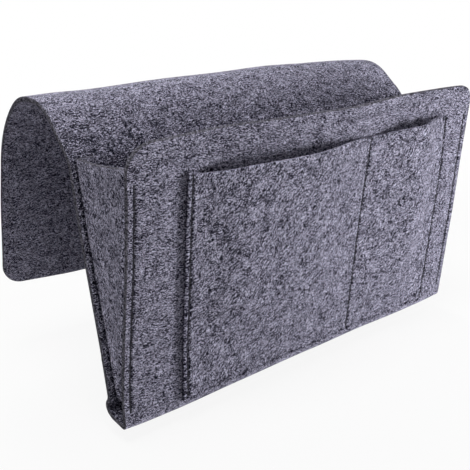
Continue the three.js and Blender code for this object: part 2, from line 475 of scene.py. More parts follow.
# How the soft strip strays from its drawn line: where along its width, and by how much
stray = {
    "unevenSize": 0.06,
    "unevenDepth": 0.0008,
    "unevenSeed": 1.7,
    "frontReach": 0.09,
    "frontSoften": 0.018,
    "frontOut": [
        (0, 0.002), (0.016, 0.0035), (0.045, 0), (0.07, -0.0015), (0.107, 0.002), (0.14, 0.003),
        (0.17, 0.0045), (0.196, 0.001), (0.222, -0.003), (0.25, -0.0035), (0.285, -0.003),
        (0.305, -0.0005),
    ],
    "crownUp": [
        (0, -0.0009), (0.02, -0.0004), (0.04, -0.0007), (0.12, 0.0003), (0.2, 0.0013), (0.25, 0.0006),
        (0.28, -0.0008), (0.305, -0.0026),
    ],
    "crownReach": 0.028,
    "riseIn": [(0.24, 0), (0.28, 0.0012), (0.305, 0.0024)],
    "riseFrom": 0.046,
    "risePeak": 0.024,
    "flapOut": [(0, 0.004), (0.03, 0.001), (0.06, -0.001), (0.305, 0)],
    "flapReach": 0.11,
    "flapLonger": [(0, -0.0005), (0.02, 0), (0.05, 0.0015), (0.1, 0.002), (0.305, 0.001)],
    "longerReach": 0.08,
    "wider": 0.0014,
    "widerReach": 0.045,
    "widerFrom": (0.05, 0.11),
    "widerPast": 0.05,
    "rearWider": 0.0009,
    "rearReach": 0.05,
    "flapIn": 0.0017,
    "flapInFrom": (-0.075, -0.01),
    "leanTo": (-0.01, 0.006),
    "leftLean": [
        (0, -0.0006), (0.02, -0.0012), (0.035, -0.0014), (0.05, -0.0011), (0.07, -0.0006), (0.089, 0),
        (0.104, 0.0006), (0.12, 0.0004), (0.138, 0.0003), (0.148, -0.0004), (0.158, -0.0013),
        (0.176, -0.0016),
    ],
    "foldSag": [
        (0, 0), (0.01, 0.0008), (0.05, 0.001), (0.1, 0.0003), (0.15, 0), (0.2, 0.0003), (0.25, 0.0009),
        (0.285, 0.001), (0.305, 0),
    ],
    "foldLowest": 0.004,
    "foldReach": 0.03,
    "baseRise": [
        (0, 0), (0.0062, 0), (0.0145, 0.0014), (0.0195, 0.0020), (0.025, 0.0009), (0.031, 0),
    ],
    "riseSoften": 0.002,
    "heelOut": [(0.0245, 0), (0.033, 0.0011), (0.046, 0.0006), (0.065, 0)],
    "heelSoften": 0.004,
}


# A table of places and values, read with its corners softened
def knots(value, table, soften=0.012):
    fine = np.linspace(-0.02, width + 0.02, 700)
    raw = np.interp(fine, *zip(*table))
    kernel = np.hanning(max(3, int(soften * 2 / (fine[1] - fine[0])) | 1))
    soft = np.convolve(np.pad(raw, len(kernel) // 2, mode="edge"), kernel / kernel.sum(), "valid")
    return np.interp(value, fine, soft)


# How far the soft strip stands off its drawn line, towards the inside of the bag
def strayOff(x, along):
    across = x - leftEnd
    off = stray["unevenDepth"] * uneven(x, along, stray["unevenSize"], stray["unevenSeed"])
    frontOut = knots(across, stray["frontOut"], stray["frontSoften"])
    off = off - frontOut * (1 - smooth(along, 0, stray["frontReach"])) ** 2
    top = ends["rise"]
    onCrown = within(along, (top - stray["crownReach"], top), (top, ends["fall"]))
    off = off + knots(across, stray["crownUp"]) * onCrown
    peak = top - stray["risePeak"]
    onRise = within(along, (top - stray["riseFrom"], peak), (peak, top))
    off = off - knots(across, stray["riseIn"]) * onRise
    onFlap = smooth(along, ends["fall"] - stray["flapReach"], ends["fall"])
    off = off + knots(across, stray["flapOut"]) * onFlap
    return off - knots(along - ends["front"], stray["heelOut"], stray["heelSoften"])


# How far its edges stray sideways
def strayAside(x, along):
    across = x - leftEnd
    front, base, back = ends["front"], ends["base"], ends["back"]
    reach = stray["widerReach"]
    nearLeft, nearRight = 1 - smooth(across, 0, reach), smooth(across, width - reach, width)
    low = within(along, stray["widerFrom"], (base, base + stray["widerPast"]))
    rear = within(along, (front, base), (back - stray["rearReach"], back))
    onFront = 1 - smooth(along - front, *stray["leanTo"])
    onFlap = smooth(along - ends["fall"], *stray["flapInFrom"])
    leaning = knots(strip["frontHeight"] - along, stray["leftLean"]) * onFront
    rightward = stray["flapIn"] * onFlap - stray["rearWider"] * rear + leaning
    return stray["wider"] * nearRight * low + rightward * nearLeft


def stripSurface(x, along):
    places, left = stripLine.at(along)
    lowest = ends["front"] + stray["foldLowest"]
    atFold = within(along, (lowest - stray["foldReach"], lowest), (lowest, ends["base"]))
    sag = knots(x - leftEnd, stray["foldSag"]) * atFold
    rise = knots(along - ends["front"], stray["baseRise"], stray["riseSoften"])
    height = places[..., 1] - sag + rise
    middle = np.stack([x + strayAside(x, along), places[..., 0], height], -1)
    return middle + inSpace(np.zeros_like(x), left) * strayOff(x, along)[..., None]


# Places for the rows of a mesh: even steps, with close ones where a seam or a corner needs them
def stations(low, high, step, close=(), reach=0.0024, closeStep=0.0006):
    rows = list(np.linspace(low, high, max(2, round((high - low) / step) + 1)))
    for centre in close:
        rows += list(np.arange(centre - reach, centre + reach + 1e-9, closeStep))
    rows = sorted(row for row in rows if low <= row <= high)
    kept = [rows[0]]
    for row in rows[1:]:
        if row - kept[-1] > closeStep * 0.6:
            kept.append(row)
    kept[-1] = high
    return np.array(kept)


def cornerStations(low, high, radii, count=14):
    near = 1 - np.cos(np.linspace(0, math.pi / 2, count))
    return np.concatenate([low + radii[0] * near, high - radii[1] * near])


def normalsOf(middle, sideHint):
    across = np.gradient(middle, axis=0)
    along = np.gradient(middle, axis=1)
    normal = np.cross(across, along)
    normal /= np.linalg.norm(normal, axis=-1, keepdims=True)
    flip = np.sign((normal * sideHint).sum(-1).mean())
    return normal * flip


# Flat cloth coordinates, with the grain turned and its fibres made coarser
def turned(across, up, degrees, coarser):
    angle = math.radians(degrees)
    return (1 / coarser) * np.stack(
        [
            across * math.cos(angle) + up * math.sin(angle),
            up * math.cos(angle) - across * math.sin(angle),
        ],
        -1,
    )


# Seams sink a shallow groove into the felt, and painted shade darkens it
groove = {"depth": 0.0009, "reach": 0.0009}
# Painted highlight along the fold where the front turns under
foldHighlight = {"share": 0.55, "from": 0.0048, "reach": 0.0026}
# Painted shade where real shade falls: inside the base and the knee, beside the gussets, in the
# gussets' folds and on the pocket hems' sides
paintedCreaseShade = {
    "base": 0.5,
    "baseSoft": 0.006,
    "rim": 0.33,
    "beside": 0.85,
    "besideFrom": (0.0021, 0.0031),
    "besideTo": (0.0045, 0.0065),
    "fold": 1.8,
    "hem": 1.0,
    "knee": 0.5,
    "kneeFrom": (-0.05, -0.004),
    "kneeTo": (0.002, 0.034),
}


# A closed felt solid round a middle surface: two faces, and a raw cut edge all the way round
cutEdge = {"round": 0.00035, "bulge": 0.00012, "sharp": 48}
otherFace = [1.3, 0.7]  # where a piece's second face lies on the cloth


def feltSolid(name, middle, normal, cloth, press=(0.0, 0.0), sink=None, thin=0.0, joined=(), rim=1):
    # The shading shares paint shade on each face, and a painted highlight where negative; unless a sink
    # is given, the faces also sink into grooves by them
    rows, columns = middle.shape[:2]
    press = [np.broadcast_to(share, (rows, columns)) for share in press]
    sink = [np.broadcast_to(share, (rows, columns)) for share in (sink or press)]
    depth = [half - thin - groove["depth"] * np.clip(share, 0, 1) for share in sink]
    count = rows * columns
    loop = (
        [(i, 0) for i in range(rows - 1)]
        + [(rows - 1, j) for j in range(columns - 1)]
        + [(i, columns - 1) for i in range(rows - 1, 0, -1)]
        + [(0, j) for j in range(columns - 1, 0, -1)]
    )
    ring = tuple(np.transpose(loop))
    edge, edgeNormal = middle[ring], normal[ring]
    tangent = np.roll(edge, -1, 0) - np.roll(edge, 1, 0)
    outward = np.cross(tangent, edgeNormal)
    outward /= np.linalg.norm(outward, axis=-1, keepdims=True) + 1e-12
    centre = middle.mean((0, 1))
    if ((edge - centre) * outward).sum() < 0:
        outward = -outward
    free = np.ones(len(loop))
    if "start" in joined:
        free[ring[1] == 0] = 0
    if "end" in joined:
        free[ring[1] == columns - 1] = 0
    left = middle + normal * depth[0][..., None]
    right = middle - normal * depth[1][..., None]
    pull = outward * (free * cutEdge["round"])[:, None]
    left[ring] -= pull
    right[ring] -= pull
    upper, lower = (side[ring][:, None] - cutEdge["round"] for side in depth)
    rims = [
        edge + edgeNormal * upper,
        edge + outward * (free * cutEdge["bulge"])[:, None],
        edge - edgeNormal * lower,
    ]
    points = np.concatenate([left.reshape(-1, 3), right.reshape(-1, 3), *rims])
    grid = np.arange(count).reshape(rows, columns)
    quads = np.stack(
        [grid[:-1, :-1], grid[1:, :-1], grid[1:, 1:], grid[:-1, 1:]], -1
    ).reshape(-1, 4)
    around = np.arange(len(loop))
    onward = np.roll(around, -1)
    bands = [2 * count + k * len(loop) + around for k in range(3)]
    bands = [grid[ring], *bands, grid[ring] + count]
    faces = [quads, quads[:, ::-1] + count]
    for upper, lower in zip(bands, bands[1:]):
        faces.append(np.stack([upper, lower, lower[onward], upper[onward]], -1))
    faces = np.concatenate(faces)
    tags = (np.arange(len(faces)) >= 2 * len(quads)) * rim
    # The inner face's painted shade carries on round the raw cut edge
    rimShade = np.tile(press[0][ring], 3)
    shade = np.concatenate([press[0].ravel(), press[1].ravel(), rimShade])
    flat = cloth.reshape(-1, 2)
    rimCloth = [cloth[ring] + [0, k * half] for k in range(3)]
    clothAll = np.concatenate([flat, flat + otherFace, *rimCloth])
    mesh = bpy.data.meshes.new(name)
    mesh.from_pydata(points.tolist(), [], faces.tolist())
    layer = mesh.uv_layers.new(name="cloth")
    layer.data.foreach_set("uv", clothAll[faces.ravel()].ravel())
    mesh.polygons.foreach_set("material_index", tags)
    mesh.attributes.new("press", "FLOAT", "POINT").data.foreach_set("value", shade)
    mesh.polygons.foreach_set("use_smooth", [True] * len(faces))
    work = bmesh.new()
    work.from_mesh(mesh)
    bmesh.ops.recalc_face_normals(work, faces=work.faces)
    work.to_mesh(mesh)
    work.free()
    mesh.set_sharp_from_angle(angle=math.radians(cutEdge["sharp"]))
    mesh.materials.append(feltFace)
    mesh.materials.append(feltCut)
    piece = addObject(name, mesh)
    return piece


# A seam's groove: where the felt sinks, and where painted shade darkens it
def seamGrooveAndShading(distance, mask):
    return np.exp(-((distance / groove["reach"]) ** 2)) * mask


# Where the seams run: in from the strip's edges, up from the front's foot, in from the pocket's folds
seams = {
    "edge": 0.0044,
    "backEdge": 0.0072,
    "edgeFoot": 0.0125,
    "edgeHead": 0.1545,
    "edgeStop": 0.003,
    "pocket": 0.0033,
    "foot": 0.0092,
    "corner": 0.003,
    "footSunk": 0.0007,
    # the pocket's foot seam: share of its groove and of its painted shade
    "footGrooveAndShading": 0.45,
}


def cornerCut(x, radii):
    cut = 0.0
    for radius, inset in zip(radii, (x - leftEnd, rightEnd - x)):
        inward = radius - np.clip(inset, 0, radius)
        cut = cut + radius - np.sqrt(np.maximum(radius**2 - inward**2, 0))
    return cut


# The wedge inside the bag, between the front's and the back's inner faces
frontAt, frontLeft = stripLine.at(np.array(ends["front"]))
backAt, backLeft = stripLine.at(np.array(ends["base"]))
frontFace = frontAt + frontLeft * half
backFace = backAt + backLeft * half
frontSlope = -math.tan(lean)
backSlope = math.tan(math.radians(strip["backLean"]))
apexZ = (
    backFace[0] - frontFace[0] + frontSlope * frontFace[1] - backSlope * backFace[1]
) / (frontSlope - backSlope)
apexY = frontFace[0] + frontSlope * (apexZ - frontFace[1])
wedgeHalf = math.radians(strip["frontLean"] + strip["backLean"]) / 2
wedgeLean = math.radians(strip["backLean"] - strip["frontLean"]) / 2
gusset = {
    "edge": 0.001,
    "fold": 0.002,
    "backFold": 0.004,
    "backIn": 0.0008,
    "flange": 0.008,
    "top": 0.0003,
    "topSlope": 4.8,
    "bow": 0.0012,
    "topRaise": 0.0030,
    "rows": (7, 7, 25, 9, 7),
    "levels": 60,
    "turnOver": 0.003,
    "near": (-0.2, 0.9),
    "frontShade": (0.5, 1.4),  # in radii of the fold, as backShade is
    "backShade": (0.12, 0.5),
    "grain": 70,
    "coarser": 1.0,
    "clothAt": {"left": 2.0, "right": 2.4},
}
backFoot = math.hypot(backFace[0] - apexY, backFace[1] - apexZ)
gussetFoot = backFoot * math.cos(wedgeHalf) + strip["layerGap"]
topSlope = math.tan(math.radians(gusset["topSlope"]))
gussetBackHead = (backFoot + strip["backRun"] - gusset["top"]) * math.cos(wedgeHalf)
gussetHead = gussetBackHead * (1 + topSlope * math.tan(wedgeHalf))


# The strip is shown as three sheets, which meet low on the back and on top of the arch
split = ends["base"] + strip["split"]
stripPieces = {
    "frontFelt": {"from": 0.0, "to": split, "startCorners": strip["frontCorners"], "joined": ("end",)},
    "backFelt": {"from": split, "to": ends["rise"], "joined": ("start", "end")},
    "flapFelt": {
        "from": ends["rise"],
        "to": ends["fall"],
        "endCorners": strip["flapCorners"],
        "joined": ("start",),
    },
}
# Rows lie closer round the base's two folds
closeRows = {"front": 0.006, "back": 0.008, "reach": 0.008, "step": 0.0008, "least": 0.00008}


# How dark its inner and outer faces are: painted shade in the seam grooves, inside the base and the
# knee and beside the gussets, and a painted highlight at the front's fold
def stripShade(x, s):
    toEdge = np.minimum(x - leftEnd, rightEnd - x)
    up = strip["frontHeight"] - s
    front, base, soft = ends["front"], ends["base"], paintedCreaseShade["baseSoft"]
    onFront = (up > seams["edgeFoot"]) & (up < seams["edgeHead"])
    onBack = (s > base) & (s < base + strip["backRun"])
    # Painted shade in the seam grooves on the outer face
    outer = seamGrooveAndShading(toEdge - seams["edge"], onFront) + seamGrooveAndShading(toEdge - seams["backEdge"], onBack)
    # A painted highlight lightens the outer face along the front's fold
    outer = outer - foldHighlight["share"] * np.exp(-(((s - front - foldHighlight["from"]) / foldHighlight["reach"]) ** 2))
    # Painted shade on the inner face beside the gussets, inside the base and at the knee, where real
    # shade falls
    deeper = smooth(toEdge, *paintedCreaseShade["besideFrom"])
    beside = paintedCreaseShade["rim"] + (paintedCreaseShade["beside"] - paintedCreaseShade["rim"]) * deeper
    beside = beside * (1 - smooth(toEdge, *paintedCreaseShade["besideTo"]))
    inBase = within(s, (front - soft, front), (base, base + soft))
    inKnee = within(s - ends["back"], paintedCreaseShade["kneeFrom"], paintedCreaseShade["kneeTo"])
    inner = np.maximum(beside * onBack, paintedCreaseShade["base"] * inBase)
    return np.maximum(inner, paintedCreaseShade["knee"] * inKnee), outer


def stripPiece(name, spec):
    start, end = spec["from"], spec["to"]
    insets = (seams["edge"], seams["backEdge"])
    seamPlaces = [place for inset in insets for place in (leftEnd + inset, rightEnd - inset)]
    xs = stations(leftEnd, rightEnd, strip["step"], seamPlaces)
    corners = spec.get("startCorners") or spec.get("endCorners")
    if corners:
        xs = np.sort(np.concatenate([xs, cornerStations(leftEnd, rightEnd, corners)]))
        xs = xs[np.concatenate([[True], np.diff(xs) > closeRows["least"]])]
        xs[-1] = rightEnd
        reach = strip["cornerReach"] * max(corners)
    bends = [ends["front"] + closeRows["front"], ends["base"] - closeRows["back"]]
    rows = stations(start, end, strip["step"], bends, closeRows["reach"], closeRows["step"])
    x, s = np.meshgrid(xs, rows, indexing="ij")
    if "startCorners" in spec:
        s = s + cornerCut(x, corners) * (1 - np.clip((s - start) / reach, 0, 1))
    if "endCorners" in spec:
        nearEnd = smooth(s, end - stray["longerReach"], end)
        s = s + knots(x - leftEnd, stray["flapLonger"]) * nearEnd
        s = s - cornerCut(x, corners) * (1 - np.clip((end - s) / reach, 0, 1))
    middle = stripSurface(x, s)
    _, left = stripLine.at(s)
    normal = normalsOf(middle, inSpace(np.zeros_like(x), left))
    inner, outer = stripShade(x, s)
    cloth = np.stack([x, s], -1)
    return feltSolid(
        name, middle, normal, cloth, press=(inner, outer), sink=(0.0, outer), joined=spec["joined"]
    )


stripObjects = {name: stripPiece(name, spec) for name, spec in stripPieces.items()}
print("strip felt made")


# Side gussets: a wall between two flanges that lie on the inner faces of the front and back
def wedgePoint(x, y, level):
    return np.stack(
        [
            x,
            apexY + y * math.cos(wedgeLean) + level * math.sin(wedgeLean),
            apexZ - y * math.sin(wedgeLean) + level * math.cos(wedgeLean),
        ],
        -1,
    )


def flangeMiddle(level):
    return level * math.tan(wedgeHalf) - (strip["layerGap"] + half) / math.cos(wedgeHalf)


# Sewn to the strip, the flanges stray as it does
def frontAlong(place):
    return (panelHigh.z - half * math.sin(lean) - place[..., 2]) / math.cos(lean)


def backAlong(place):
    return ends["base"] + (place[..., 2] - backAt[1]) / math.cos(math.radians(strip["backLean"]))


def gussetSection(level):
    middle = flangeMiddle(level)
    fold, backFold, flange = gusset["fold"], gusset["backFold"], gusset["flange"]
    wall = 2 * middle - fold - backFold
    line = Line(
        (gusset["edge"] + half + fold + flange, -middle),
        math.pi,
        [run(flange), bend(fold, -90), run(wall), bend(backFold, -90), run(flange)],
    )
    wallStart = flange + fold * math.pi / 2
    wallEnd = wallStart + wall
    marks = [0, flange, wallStart, wallEnd, wallEnd + backFold * math.pi / 2, line.length]
    steps = zip(marks, marks[1:], gusset["rows"])
    distances = [np.linspace(low, high, count)[:-1] for low, high, count in steps]
    distances = np.concatenate([*distances, marks[-1:]])
    places, left = line.at(distances)
    inWall = np.clip((distances - wallStart) / wall, 0, 1)
    places = places - left * (gusset["bow"] * np.sin(math.pi * inWall) ** 2)[:, None]
    # Masks for painted shade in the front and back folds
    atFront = smooth((wallStart - distances) / fold, *gusset["frontShade"])
    atBack = smooth((distances - wallEnd) / backFold, *gusset["backShade"])
    return places, left, distances - line.length / 2, np.maximum(atFront, atBack)


def gussetPiece(name, hand):
    levels = np.linspace(gussetFoot, gussetHead, gusset["levels"])
    sections = zip(*[gussetSection(level) for level in levels])
    places, left, distance, shade = (np.stack(part, 1) for part in sections)
    side, start = {"left": (1, leftEnd), "right": (-1, rightEnd)}[hand]
    x, y = places[..., 0], places[..., 1]
    share = (levels - gussetFoot) / (gussetHead - gussetFoot)
    lift = -topSlope * y[:, -1:] * share
    lift = lift + gusset["topRaise"] * smooth(y[:, -1:], 0.0, y.max()) * share**3
    level = levels + lift
    y = y + np.clip(y / gusset["turnOver"], -1, 1) * lift * math.tan(wedgeHalf)
    drawn = wedgePoint(start + side * x, y, level)
    towards = y / flangeMiddle(levels)
    nearFront, nearBack = (smooth(way * towards, *gusset["near"]) for way in (-1, 1))
    atFront, atBack = (drawn[..., 0], frontAlong(drawn)), (drawn[..., 0], backAlong(drawn))
    y = y + strayOff(*atFront) * nearFront - strayOff(*atBack) * nearBack
    aside = strayAside(*atFront) * nearFront + strayAside(*atBack) * nearBack
    aside = aside + side * gusset["backIn"] * nearBack
    middle = wedgePoint(start + side * x + aside, y, level)
    hint = np.stack([side * left[..., 0], left[..., 1], np.zeros_like(level)], -1)
    normal = normalsOf(middle, hint)
    cloth = turned(distance + gusset["clothAt"][hand], level, gusset["grain"], gusset["coarser"])
    # Painted shade in the gusset's folds, where the crease lies in shade
    press = (paintedCreaseShade["fold"] * shade, 0.0)
    return feltSolid(name, middle, normal, cloth, press=press, sink=(0.0, 0.0))


gussetObjects = {}
for hand in ("left", "right"):
    name = hand + "GussetFelt"
    gussetObjects[name] = gussetPiece(name, hand)
print("gussets made")


# Outer pocket: side edges folded under, sewn down its sides and foot, split by the divider seam
pocket = {
    "left": 0.0375,
    "right": 0.0285,
    "bottom": 0.0075,
    "height": 0.1555,
    "divider": 0.188,
    "hem": 0.009,
    "bow": 0.009,
    "hemRun": 0.032,
    "dividerRun": 0.058,
    "bowRise": 0.070,
    "settle": 0.007,
    "grain": 38,
    "coarser": 1.15,
    "foldSquare": 0.62,
    "hemFelt": 0.0022,
    "step": 0.0026,
    "leftLean": [(0.0075, 0.0016), (0.05, 0.0003), (0.1, -0.0003), (0.1555, -0.0008)],
    "mouthRise": [
        (0.038, -0.001), (0.052, -0.0027), (0.064, -0.002), (0.076, -0.0001), (0.1, -0.0006),
        (0.124, -0.0009), (0.15, -0.0005), (0.164, -0.0003), (0.196, -0.0026), (0.22, -0.0009),
        (0.244, 0.0008), (0.277, 0.0008),
    ],
    "mouthReach": 0.05,
    "leanReach": 0.06,
    "hemTop": 1.2,  # in thicknesses of hem felt, as hemSide is
    "hemSide": (1.1, 1.45),
    "foldRows": 15,
    "clothAt": 4.0,
}
pocketEnd = width - pocket["right"]
hemLeft = pocket["left"] + pocket["hem"]
hemRight = pocketEnd - pocket["hem"]
hemFelt = pocket["hemFelt"]
seamLeft = pocket["left"] + seams["pocket"]
seamRight = pocketEnd - seams["pocket"]


# The folded hem is sewn tight, so its felt is thinner
def hemThin(x):
    inside = np.minimum(x - hemLeft, hemRight - x)
    return (felt - hemFelt) / 2 * (1 - smooth(inside, 0, pocket["settle"]))


# How far the pocket stands off the front: over its hems at the sides, and bowed between the seams
def pocketLift(x, z):
    hem = np.where(x < pocket["divider"], hemLeft, hemRight)
    span = np.abs(pocket["divider"] - hem)
    toDivider = np.clip(np.abs(pocket["divider"] - x), 0, span)
    fromHem = span - toDivider
    reach = smooth(z, seams["foot"], pocket["height"])
    settle = pocket["settle"] + (span - pocket["settle"]) * reach
    offHem = (1.5 * hemFelt - half) * (1 - smooth(fromHem, 0, settle))
    across = smooth(fromHem, 0, pocket["hemRun"]) * smooth(toDivider, 0, pocket["dividerRun"])
    return offHem + pocket["bow"] * across * smooth(z, seams["foot"], seams["foot"] + pocket["bowRise"])


# The pocket isn't quite square: its left hem leans and its mouth waves
def pocketSway(x, z):
    near = 1 - smooth(x, pocket["left"], pocket["left"] + pocket["leanReach"])
    atMouth = smooth(z, pocket["height"] - pocket["mouthReach"], pocket["height"])
    leaning = np.interp(z, *zip(*pocket["leftLean"])) * near
    return x + leaning, z + knots(x, pocket["mouthRise"]) * atMouth


# The front panel's own frame: x across it from its left end, z up it, off away from the bag
outPanel = np.array([-math.cos(lean), -math.sin(lean)])


def onPanel(x, off, z):
    x, z = pocketSway(x, z)
    s = strip["frontHeight"] - z
    surface = stripSurface(x + leftEnd, np.maximum(s, 0.0))
    return inSpace(surface[..., 0], surface[..., 1:] + outPanel * (half + off)[..., None])


def squarer(value):
    return np.sign(value) * np.abs(value) ** pocket["foldSquare"]


def pocketSection(z):
    gap = strip["layerGap"]
    turn = np.radians(np.linspace(-90, 90, pocket["foldRows"]))
    out, up = squarer(np.cos(turn)) * hemFelt / 2, squarer(np.sin(turn)) * hemFelt / 2
    foldLeft, foldRight = pocket["left"] + hemFelt, pocketEnd - hemFelt
    seamsAt = [seamLeft, pocket["divider"], seamRight]
    xs = stations(foldLeft, foldRight, pocket["step"], seamsAt)[1:-1]
    under = np.linspace(hemLeft, foldLeft, 5)[:-1]
    underRight = np.linspace(foldRight, hemRight, 5)[1:]
    flat = np.full(len(under), gap + hemFelt / 2)
    return np.concatenate(
        [
            np.stack([under, flat], -1),
            np.stack([foldLeft - out, gap + hemFelt + up], -1),
            np.stack([xs, gap + pocketLift(xs, z) + half], -1),
            np.stack([foldRight + out, gap + hemFelt - up], -1),
            np.stack([underRight, flat], -1),
        ]
    )


def pocketPiece(name):
    levels = stations(pocket["bottom"], pocket["height"], pocket["step"], [seams["foot"]])
    sections = np.stack([pocketSection(z) for z in levels], 1)
    x, off = sections[..., 0], sections[..., 1]
    z = np.broadcast_to(levels, x.shape)
    middle = onPanel(x, off, z)
    steps = np.linalg.norm(np.diff(sections, axis=0), axis=-1)
    distance = np.concatenate([np.zeros((1, len(levels))), np.cumsum(steps, 0)])
    normal = normalsOf(middle, inSpace(np.array(0.0), outPanel))
    onTop = (off > strip["layerGap"] + hemFelt * pocket["hemTop"]) | ((x > hemLeft) & (x < hemRight))
    aboveFoot, betweenHems = z >= seams["foot"], (x >= seamLeft) & (x <= seamRight)
    # Painted shade in the seam grooves, which also sink the felt
    upright = np.minimum(abs(x - seamLeft), abs(x - seamRight))
    upright = seamGrooveAndShading(np.minimum(upright, abs(x - pocket["divider"])), onTop & aboveFoot)
    foot = seams["footGrooveAndShading"] * seamGrooveAndShading(z - seams["foot"], onTop & betweenHems)
    # Painted shade on the hems' folded sides, which face away from the light
    inHem = np.maximum(pocket["left"] + hemFelt - x, x - pocketEnd + hemFelt)
    onSide = smooth(inHem, 0, hemFelt / 2) * (1 - smooth(off / hemFelt, *pocket["hemSide"]))
    press = np.maximum(np.maximum(upright, foot), paintedCreaseShade["hem"] * onSide)
    cloth = turned(distance + pocket["clothAt"], z, pocket["grain"], pocket["coarser"])
    return feltSolid(name, middle, normal, cloth, press=(press, 0.0), thin=hemThin(x), rim=0)


pocketFelt = pocketPiece("pocketFelt")
print("pocket made")


# Lockstitches set along a path by Geometry Nodes, each lying on the felt and dipping in at its ends
stitch = {"pitch": 0.0045, "length": 0.0044, "thread": 0.00050, "crown": 0.0005, "dip": 0.0004}


def stitchTree():
    tree = bpy.data.node_groups.new("lockstitchRow", "GeometryNodeTree")
    tree.interface.new_socket("Geometry", in_out="INPUT", socket_type="NodeSocketGeometry")
    tree.interface.new_socket("Geometry", in_out="OUTPUT", socket_type="NodeSocketGeometry")
    for name in stitch:
        tree.interface.new_socket(name.title(), in_out="INPUT", socket_type="NodeSocketFloat")
    tree.interface.new_socket("Yarn", in_out="INPUT", socket_type="NodeSocketMaterial")
    entry = nodeFrom(tree, "NodeGroupInput", {})
    given = {flow.socket.name: flow for flow in entry}
    curve = nodeFrom(tree, "GeometryNodeMeshToCurve", {}, given["Geometry"])[0]
    spots = nodeFrom(
        tree, "GeometryNodeCurveToPoints", {"mode": "LENGTH"}, Curve=curve, Length=given["Pitch"]
    )
    outward = nodeFrom(
        tree, "GeometryNodeInputNamedAttribute", {"data_type": "FLOAT_VECTOR"}, "outward"
    )[0]
    ahead = nodeFrom(tree, "FunctionNodeAlignRotationToVector", {"axis": "X"}, Vector=spots[1])[0]
    upright = nodeFrom(
        tree,
        "FunctionNodeAlignRotationToVector",
        {"axis": "Z", "pivot_axis": "X"},
        Rotation=ahead,
        Vector=outward,
    )[0]
    reach = given["Length"] * 0.5
    # The curve rises half way to its middle point
    start = nodeFrom(tree, "ShaderNodeCombineXYZ", {}, reach * -1.0, 0.0, given["Dip"] * -1.0)[0]
    crest = nodeFrom(tree, "ShaderNodeCombineXYZ", {}, 0.0, 0.0, given["Crown"] * 2.0)[0]
    end = nodeFrom(tree, "ShaderNodeCombineXYZ", {}, reach, 0.0, given["Dip"] * -1.0)[0]
    arch = nodeFrom(
        tree, "GeometryNodeCurveQuadraticBezier", {}, Resolution=6, Start=start, Middle=crest, End=end
    )[0]
    ring = nodeFrom(
        tree, "GeometryNodeCurvePrimitiveCircle", {}, Resolution=7, Radius=given["Thread"]
    )[0]
    loop = nodeFrom(
        tree, "GeometryNodeCurveToMesh", {}, Curve=arch, Profile_Curve=ring, Fill_Caps=True
    )[0]
    placed = nodeFrom(
        tree, "GeometryNodeInstanceOnPoints", {}, Points=spots[0], Instance=loop, Rotation=upright
    )[0]
    whole = nodeFrom(tree, "GeometryNodeRealizeInstances", {}, placed)[0]
    dressed = nodeFrom(tree, "GeometryNodeSetMaterial", {}, whole, Material=given["Yarn"])[0]
    nodeFrom(tree, "NodeGroupOutput", {}, dressed)
    return tree


stitchRow = stitchTree()


def stitchAlong(name, points, outward):
    mesh = bpy.data.meshes.new(name)
    order = range(len(points) - 1)
    mesh.from_pydata(points.tolist(), [(k, k + 1) for k in order], [])
    mesh.attributes.new("outward", "FLOAT_VECTOR", "POINT").data.foreach_set(
        "vector", np.asarray(outward, float).ravel()
    )
    piece = addObject(name, mesh)
    modifier = piece.modifiers.new("lockstitch", "NODES")
    modifier.node_group = stitchRow
    values = {name.title(): value for name, value in stitch.items()}
    values["Yarn"] = darkThread
    for item in stitchRow.interface.items_tree:
        if item.in_out == "INPUT" and item.name in values:
            modifier[item.identifier] = values[item.name]
    made = piece.evaluated_get(bpy.context.evaluated_depsgraph_get())
    piece.data = bpy.data.meshes.new_from_object(made)
    piece.modifiers.clear()
    piece.data.polygons.foreach_set("use_smooth", [True] * len(piece.data.polygons))
    return piece


def evenPath(points, normals, step=0.0015):
    gaps = np.linalg.norm(np.diff(points, axis=0), axis=-1)
    along = np.concatenate([[0], np.cumsum(gaps)])
    wanted = np.linspace(0, along[-1], max(2, round(along[-1] / step)))
    return [
        np.stack([np.interp(wanted, along, values[:, k]) for k in range(3)], -1)
        for values in (points, normals)
    ]


onFelt = groove["depth"]  # stitches lie this deep in their groove
seamPoints = 120


def edgeSeamPath(x, fromAlong, toAlong):
    s = np.linspace(fromAlong, toAlong, seamPoints)
    xs = np.full(s.shape, x)
    _, left = stripLine.at(s)
    side = inSpace(np.zeros_like(s), left)
    return stripSurface(xs, s) - side * (half - onFelt), -side


def flangeSeamPath(x):
    stop = seams["edgeStop"]
    levels = np.linspace(gussetFoot + stop, gussetBackHead - stop, seamPoints)
    xs = np.full(levels.shape, x)
    y = flangeMiddle(levels) - half / math.cos(wedgeHalf)
    points = wedgePoint(xs, y - strayOff(xs, backAlong(wedgePoint(xs, y, levels))), levels)
    inward = [0, -math.cos(wedgeLean), math.sin(wedgeLean)]
    return points, np.broadcast_to(inward, points.shape)


stitches = {}
frontTop = strip["frontHeight"] - seams["edgeHead"]
frontFoot = strip["frontHeight"] - seams["edgeFoot"]
backLow = ends["base"] + seams["edgeStop"]
backHigh = ends["base"] + strip["backRun"] - seams["edgeStop"]
for side, start, inward in (("left", leftEnd, 1), ("right", rightEnd, -1)):
    frontX, backX = start + inward * seams["edge"], start + inward * seams["backEdge"]
    paths = {
        side + "FrontStitches": edgeSeamPath(frontX, frontTop, frontFoot),
        side + "RearStitches": edgeSeamPath(backX, backLow, backHigh),
        side + "BackStitches": flangeSeamPath(backX),
    }
    for name, path in paths.items():
        stitches[name] = stitchAlong(name, *evenPath(*path))


